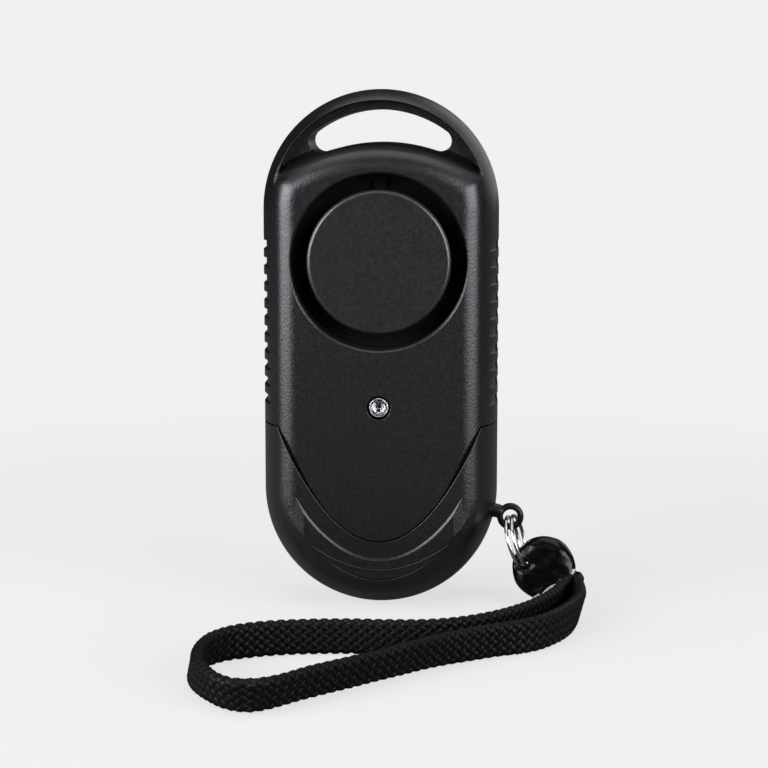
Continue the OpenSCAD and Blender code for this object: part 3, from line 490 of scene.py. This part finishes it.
def braid(name, direction):
    """Half of the braid's strands, all turning the same way around the strap."""
    count, half_w, half_t, wave = 8, 2.55, 0.56, 0.16
    width, thick, step = 0.62, 0.26, 0.165
    rows, at = even(smooth_line(ROUTE), step)
    centre, lean = rows[:, :3], leaning(rows)
    tangent = unit(np.gradient(centre, axis=0))
    across = unit(lean - (lean * tangent).sum(1, keepdims=True) * tangent)
    side = np.cross(tangent, across)
    around = stadium(half_w, half_t, np.zeros(1))[4]
    turns = round(STEEP * at[-1] / around)
    section = [(-width, 0), (-0.5 * width, thick), (0.5 * width, thick), (width, 0),
               (0.5 * width, -thick), (-0.5 * width, -thick)]
    sides = len(section)
    verts, faces, uvs = [], [], []
    for k in range(count):
        x, y, nx, ny, _ = stadium(half_w, half_t, k / count + direction * turns * at / at[-1])
        lift = wave * direction * np.cos(2 * math.pi * count * turns * at / at[-1])
        normal = nx[:, None] * across + ny[:, None] * side
        strand = centre + x[:, None] * across + y[:, None] * side + lift[:, None] * normal
        along = unit(np.gradient(strand, axis=0))
        aside = unit(np.cross(normal, along))
        up = np.cross(along, aside)
        points = np.stack([strand + a * aside + b * up for a, b in section], 1).reshape(-1, 3)
        faces += tube_faces(len(strand), sides, len(verts))
        verts += points.tolist()
        uvs += [(i / sides, v) for v in at for i in range(sides)]
    obj = mesh_object(name, verts, faces, [yarn_mat])
    layer = obj.data.uv_layers.new(name="strand")
    corner = np.empty(len(obj.data.loops), int)
    obj.data.loops.foreach_get("vertex_index", corner)
    layer.data.foreach_set("uv", np.asarray(uvs, float)[corner].ravel())
    return obj


CORE_SIDES = 16
strands_a = braid("strap_strands_a", 1)
strands_b = braid("strap_strands_b", -1)
line, line_at = even(smooth_line(ROUTE), 0.6)
oval = np.stack(stadium(2.5, 0.5, np.arange(CORE_SIDES) / CORE_SIDES)[:2], 1)
core = mesh_object("strap_core", sweep(line[:, :3], leaning(line), oval[::-1]),
                   tube_faces(len(line), CORE_SIDES), [core_mat])
for piece in (strands_a, strands_b, core):
    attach(piece, "strap")
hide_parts("wrist_strap")


# Split ring: two turns of steel wire through the pin's eye and the sleeve's hole

PIN_Y, PIN_Z, PIN_BEND = -3.0, 17.0, math.radians(25)
EYE = np.array([23.4, PIN_Y, PIN_Z - 2.6 * math.tan(PIN_BEND)])
RING_TILT, RING_PITCH = math.radians(13), 1.08
WIRE_HALF, WIRE_SIDES = (0.34, 0.3), 14

ring_low = EYE + [2.3, -1.2, -8.87]
ring_u = unit(ring_low - EYE)
ring_v = unit(np.array([0, 1, 0]) - ring_u[1] * ring_u)
ring_v = math.cos(RING_TILT) * ring_v + math.sin(RING_TILT) * np.cross(ring_u, ring_v)
ring_n = np.cross(ring_u, ring_v)
ring_r = np.linalg.norm(ring_low - EYE) / 2
turn = np.radians(np.linspace(-45, 675, 193))
ring_path = (ring_low + EYE) / 2 + ring_r * (np.cos(turn)[:, None] * ring_v - np.sin(turn)[:, None] * ring_u)
ring_path += ring_n * (RING_PITCH * (turn - 1.5 * math.pi) / (2 * math.pi))[:, None]
wire = [(WIRE_HALF[0] * c, WIRE_HALF[1] * s) for c, s in unit_circle(WIRE_SIDES)]
ring = mesh_object("ring_wire", sweep(ring_path, np.tile(ring_n, (len(turn), 1)), wire),
                   tube_faces(len(turn), WIRE_SIDES), [ring_mat])
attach(ring, "ring")
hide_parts("split_ring")


# Pull pin: a round shank that bends down to a thick eye

SHANK_R, EYE_R = 1.3, 1.85


def eye_ring(start):
    """Points and faces of the eye, a thick ring with squarish edges; its points begin at start."""
    around, sides, half_r, half_y, square = 56, 20, 0.55, 0.92, 0.7
    rim = [(half_r * math.copysign(abs(c) ** square, c), half_y * math.copysign(abs(s) ** square, s))
           for c, s in unit_circle(sides)]
    verts, faces = [], []
    for k in range(around):
        b = 2 * math.pi * k / around
        verts += [(EYE[0] + (EYE_R + c) * math.cos(b), EYE[1] + s, EYE[2] + (EYE_R + c) * math.sin(b))
                  for c, s in rim]
    for k in range(around):
        for i in range(sides):
            j, m = (i + 1) % sides, (k + 1) % around
            faces.append((start + k * sides + i, start + k * sides + j,
                          start + m * sides + j, start + m * sides + i))
    return verts, faces


def pull_pin():
    """The shank from its rounded end through the bend into the eye."""
    sides, bend_x, bend_r = 24, 19.55, 5.6
    straight, bend = np.linspace(10, 19.4, 12), np.linspace(0.1, 1, 9) * PIN_BEND
    path = [(x, PIN_Y, PIN_Z) for x in (8.6, 9.0, 9.4, *straight)]
    path += [(bend_x + bend_r * math.sin(s), PIN_Y, PIN_Z - bend_r * (1 - math.cos(s))) for s in bend]
    end = np.array(path[-1])
    aim = unit(EYE - end)
    reach = np.linalg.norm(EYE - end) - 1.7
    path += [tuple(end + aim * reach * t) for t in (0.5, 1.0)]
    radii = [0.8, 1.1, SHANK_R] + [SHANK_R] * len(straight) + list(np.linspace(SHANK_R, 1.22, len(bend)))
    radii += [1.16, 1.12]
    path = np.array(path)
    tangent = unit(np.gradient(path, axis=0))
    y = np.array([0, 1, 0])
    verts = []
    for p, t, r in zip(path, tangent, radii):
        z = np.cross(t, y)
        verts += [tuple(p + r * (c * y + s * z)) for c, s in unit_circle(sides)]
    more, skin = eye_ring(len(verts))
    return mesh_object("pin_and_eye", verts + more, tube_faces(len(path), sides) + skin, [pin_mat])


pin = pull_pin()
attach(pin, "pin")
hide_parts("pull_pin")


# Sleeve: a lens of black film around the strap's two ends, cut off square

# Middle of the sleeve, its directions along the strap (A) and across (W), the film's radius and
# the distance of the cut from the middle
SLEEVE = EYE + [6.1, -1.2, -9.1]
CUT_TILT = math.radians(54.8)
CUT_A = np.array([math.cos(CUT_TILT), 0, -math.sin(CUT_TILT)])
CUT_W = np.array([math.sin(CUT_TILT), 0, math.cos(CUT_TILT)])
FILM_R, CUT = 5.65, 3.3
FILM_AROUND, FILM_RINGS, TORN_RINGS = 120, 16, 3
SLIT_LONG, SLIT_WIDE = 1.0, 0.5
BLACK, TORN = 0, 1


def held(value):
    """The value kept between 0 and 1."""
    return max(0.0, min(1.0, value))


def film_outline():
    """Edge of the film, slightly wavy, with a ragged cut."""
    outline = []
    for t in np.linspace(0, 2 * math.pi, FILM_AROUND, endpoint=False):
        r = FILM_R + 0.08 * math.sin(3 * t + 1) + 0.06 * math.sin(7 * t)
        a, w = r * math.cos(t), r * math.sin(t)
        if a > CUT:
            k = CUT / a
            a, w = CUT, w * k if abs(w) < 4.5 else w
            a += 0.12 * math.sin(2.1 * w + 0.4) + 0.08 * math.sin(9 * w) * math.cos(5 * w + 1)
        outline.append((a, w))
    return np.array(outline)


def film_swell(a, w):
    """Distance of the film from the middle plane: full in the middle, thin at the edge."""
    edge = held((5.7 - math.hypot(a, w)) / 1.9)
    thick = 0.35 + 2.15 * math.sqrt(max(0.0, 1 - (1 - edge) ** 2))
    thick += 0.07 * math.sin(1.3 * a + 0.8 * w) + 0.05 * math.sin(2.6 * w - 1.1 * a + 1)
    return thick * (1 - 0.3 * held((-a - 0.5) / 4))


def film_point(a, w, depth):
    point = SLEEVE + a * CUT_A + w * CUT_W
    return point[0], point[1] + depth, point[2]


def film_face(face, outline):
    """Points of one side of the film, from the ring's slit out to the edge; face is 1 in front."""
    hole = ring_low + 0.5 * RING_PITCH * ring_n
    middle = hole - face * 1.7 * ring_v / ring_v[1] - 0.35 * ring_u - SLEEVE
    middle = np.array([middle @ CUT_A, middle @ CUT_W])
    reach = np.linalg.norm(outline - middle, axis=1)
    toward = (outline - middle) / reach[:, None]
    slit = unit(np.array([ring_n @ CUT_A, ring_n @ CUT_W]))
    along, off = toward @ slit, toward @ np.array([-slit[1], slit[0]])
    rim = 1 / np.hypot(along / SLIT_LONG, off / SLIT_WIDE)
    verts = []
    for q in range(FILM_RINGS):
        share = 1 - (1 - q / (FILM_RINGS - 1)) ** 1.6
        for i in range(FILM_AROUND):
            near = rim[i] / reach[i]
            a, w = middle + (outline[i] - middle) * (near + (1 - near) * share)
            sink = 0.7 * max(0.0, 1 - (np.hypot(a - middle[0], w - middle[1]) - rim[i]) / 0.8)
            mouth = 0.4 * held((a - 1.6) / 1.5) if face > 0 else 0.0
            verts.append(film_point(a, w, -face * (film_swell(a, w) + mouth - sink)))
    return verts


def sleeve():
    """A puffed pouch of film with a tight hole for the ring and a pale torn lip along the cut."""
    rings, around, lip_deep = FILM_RINGS, FILM_AROUND, 0.22
    outline = film_outline()
    at_cut = outline[:, 0] > CUT - 0.25
    torn = [at_cut[i] and at_cut[(i + 1) % around] for i in range(around)]
    verts, faces, idx = [], [], []
    for face in (1, -1):
        start = len(verts)
        verts += film_face(face, outline)
        for q in range(rings - 1):
            for i in range(around):
                j = (i + 1) % around
                a, b = start + q * around, start + (q + 1) * around
                quad = (a + i, a + j, b + j, b + i)
                faces.append(quad if face > 0 else quad[::-1])
                idx.append(TORN if face > 0 and q >= rings - 1 - TORN_RINGS and torn[i] else BLACK)
    front, back, lip = (rings - 1) * around, (2 * rings - 1) * around, len(verts)
    for i in range(around):
        f, b = np.array(verts[front + i]), np.array(verts[back + i])
        verts.append(tuple(f + (b - f) * min(0.5, lip_deep / np.linalg.norm(b - f))))
    for i in range(around):
        j = (i + 1) % around
        faces.append((front + i, front + j, lip + j, lip + i))
        faces.append((lip + i, lip + j, back + j, back + i))
        faces.append((j, i, rings * around + i, rings * around + j))
        idx += [TORN if torn[i] else BLACK, BLACK, BLACK]
    return mesh_object("sleeve_film", verts, faces, [gloss_mat, torn_mat], idx)


film = sleeve()
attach(film, "strap")
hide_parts("strap_sleeve")


# Lamp: a clear dome over a bright cup with a small dark chip in its middle

LAMP_Z, LAMP_SIDES = 36.5, 48
CUP, SHADE, CHIP, LENS = 0, 1, 2, 3


def turned(profile):
    """Points and faces of an outline turned about the lamp's axis.

    The outline is (distance, forward), and it starts and ends on the axis.
    """
    turns = np.linspace(0, 2 * math.pi, LAMP_SIDES, endpoint=False)
    verts = [(r * math.cos(t), -f, LAMP_Z + r * math.sin(t)) for r, f in profile for t in turns]
    return verts, tube_faces(len(profile), LAMP_SIDES)


def lamp():
    """Cup, chip and dome in one piece, with the material of each band of the cup."""
    cup = [(0.02, 8.3), (1.7, 8.3), (1.72, 10.3), (1.66, 10.42), (1.5, 10.4), (1.2, 9.95), (0.95, 9.7),
           (0.8, 9.66), (0.76, 9.85), (0.66, 9.88), (0.6, 9.74), (0.3, 9.7), (0.02, 9.7)]
    bands = [CUP] * 5 + [SHADE] * 2 + [CUP] * 3 + [CHIP] * 2
    verts, faces = turned(cup)
    idx = [band for band in bands for _ in range(LAMP_SIDES)] + [CUP, CHIP]
    dome_r, dome_f = 2.08, 9.1
    dome = [(0.02, 9.9), (1.4, 10.2), (1.62, 10.55)]
    dome += [(dome_r * math.sin(t), dome_f + dome_r * math.cos(t)) for t in np.linspace(0.8, 0.01, 14)]
    more, skin = turned(dome)
    faces += [tuple(i + len(verts) for i in f) for f in skin]
    idx += [LENS] * len(skin)
    return mesh_object("lamp", verts + more, faces, [cup_mat, shade_mat, chip_mat, lens_mat], idx)


lamp_piece = lamp()
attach(lamp_piece, "case")
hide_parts("led")


# Stage, in metres: a pale floor and room, large soft boxes on both sides, weaker ones above,
# before and behind, and the camera

PALE = (0.875, 0.875, 0.87)
DIM = (0.02, 0.02, 0.022)

# Tone of the floor as the part mirrors it and as the camera sees it; the share of even glow near
# the part, and how bright the lights make the rest there
FLOOR_TONE, FLOOR_SEEN = 0.13, 0.217
NEAR_GLOW, LIT = 0.5, 0.46
FLOOR_HALF, FADE_FROM, FADE_TO = 4, 0.1, 0.28


def pale_floor():
    """A floor that takes shadows near the part and fades into an even glow, seen by the camera only."""
    h = FLOOR_HALF
    mesh = bpy.data.meshes.new("floor")
    mesh.from_pydata([(-h, -h, 0), (h, -h, 0), (h, h, 0), (-h, h, 0)], [], [(0, 1, 2, 3)])
    obj = bpy.data.objects.new("floor", mesh)
    bpy.context.scene.collection.objects.link(obj)
    mat, tree, bsdf = shader("floor", (FLOOR_TONE,) * 3, 0.9, specular=0.0)
    mesh.materials.append(mat)
    coord = add(tree, "ShaderNodeTexCoord")
    away = add(tree, "ShaderNodeVectorMath", operation="LENGTH")
    tree.links.new(coord.outputs["Object"], away.inputs[0])
    fade = remap(tree, away.outputs["Value"], FADE_FROM, FADE_TO, NEAR_GLOW, 1, "SMOOTHSTEP")
    seen = add(tree, "ShaderNodeLightPath").outputs["Is Camera Ray"]
    tree.links.new(remap(tree, seen, 0, 1, FLOOR_TONE, FLOOR_SEEN), bsdf.inputs["Base Color"])
    glow = add(tree, "ShaderNodeEmission", Color=(*PALE, 1))
    lift = remap(tree, fade, NEAR_GLOW, 1, 1 - (1 - NEAR_GLOW) * LIT, 1)
    tree.links.new(math_node(tree, "DIVIDE", lift, fade), glow.inputs["Strength"])
    blend = add(tree, "ShaderNodeMixShader")
    tree.links.new(math_node(tree, "MULTIPLY", fade, seen), blend.inputs["Fac"])
    tree.links.new(bsdf.outputs["BSDF"], blend.inputs[1])
    tree.links.new(glow.outputs["Emission"], blend.inputs[2])
    tree.links.new(blend.outputs["Shader"], tree.nodes["Material Output"].inputs["Surface"])
    return obj


def studio_world():
    """A room that is pale to the camera and dim as a light."""
    world = bpy.data.worlds.new("studio")
    bpy.context.scene.world = world
    world.use_nodes = True
    tree = world.node_tree
    pale = tree.nodes["Background"]
    pale.inputs["Color"].default_value = (*PALE, 1)
    dim = add(tree, "ShaderNodeBackground", Color=(*DIM, 1))
    ray = add(tree, "ShaderNodeLightPath")
    pick = add(tree, "ShaderNodeMixShader")
    tree.links.new(ray.outputs["Is Camera Ray"], pick.inputs["Fac"])
    tree.links.new(dim.outputs["Background"], pick.inputs[1])
    tree.links.new(pale.outputs["Background"], pick.inputs[2])
    tree.links.new(pick.outputs["Shader"], tree.nodes["World Output"].inputs["Surface"])


def soft_box(name, place, aim, width, height, watts):
    """A rectangular light at a place, turned to the aim."""
    data = bpy.data.lights.new(name, "AREA")
    data.shape, data.size, data.size_y = "RECTANGLE", width, height
    data.energy = watts
    obj = bpy.data.objects.new(name, data)
    obj.location = place
    obj.rotation_euler = (Vector(aim) - Vector(place)).to_track_quat("-Z", "Y").to_euler()
    bpy.context.scene.collection.objects.link(obj)


floor = pale_floor()
studio_world()
soft_box("light_above", (0, 0.05, 1.0), (0, 0, 0), 1.1, 1.1, 8)
soft_box("light_left", (-0.66, -0.45, 0.16), (0, 0, 0.05), 0.76, 0.9, 24.5)
soft_box("light_right", (0.63, -0.56, 0.16), (0, 0, 0.05), 0.76, 0.9, 19.5)
soft_box("light_front", (-0.2, -1.2, 0.7), (0, 0, 0.05), 0.8, 0.6, 0.6)
soft_box("light_back", (0.55, 0.8, 0.4), (0, 0, 0.05), 0.8, 0.7, 1.4)

# Camera, fitted to the outlines in the photograph
CAM_PLACE, CAM_AIM, CAM_LENS = (0.0155, -0.3558, 0.0876), (0.0005, 0, 0.0393), 93.32
cam_data = bpy.data.cameras.new("camera")
cam_data.sensor_fit = "HORIZONTAL"
cam_data.sensor_width = 36
cam_data.lens = CAM_LENS
cam_data.clip_start = 0.01
cam = bpy.data.objects.new("camera", cam_data)
cam.location = CAM_PLACE
cam.rotation_euler = (Vector(CAM_AIM) - cam.location).to_track_quat("-Z", "Y").to_euler()
bpy.context.scene.collection.objects.link(cam)
bpy.context.scene.camera = cam
bpy.context.scene.view_settings.view_transform = "Standard"
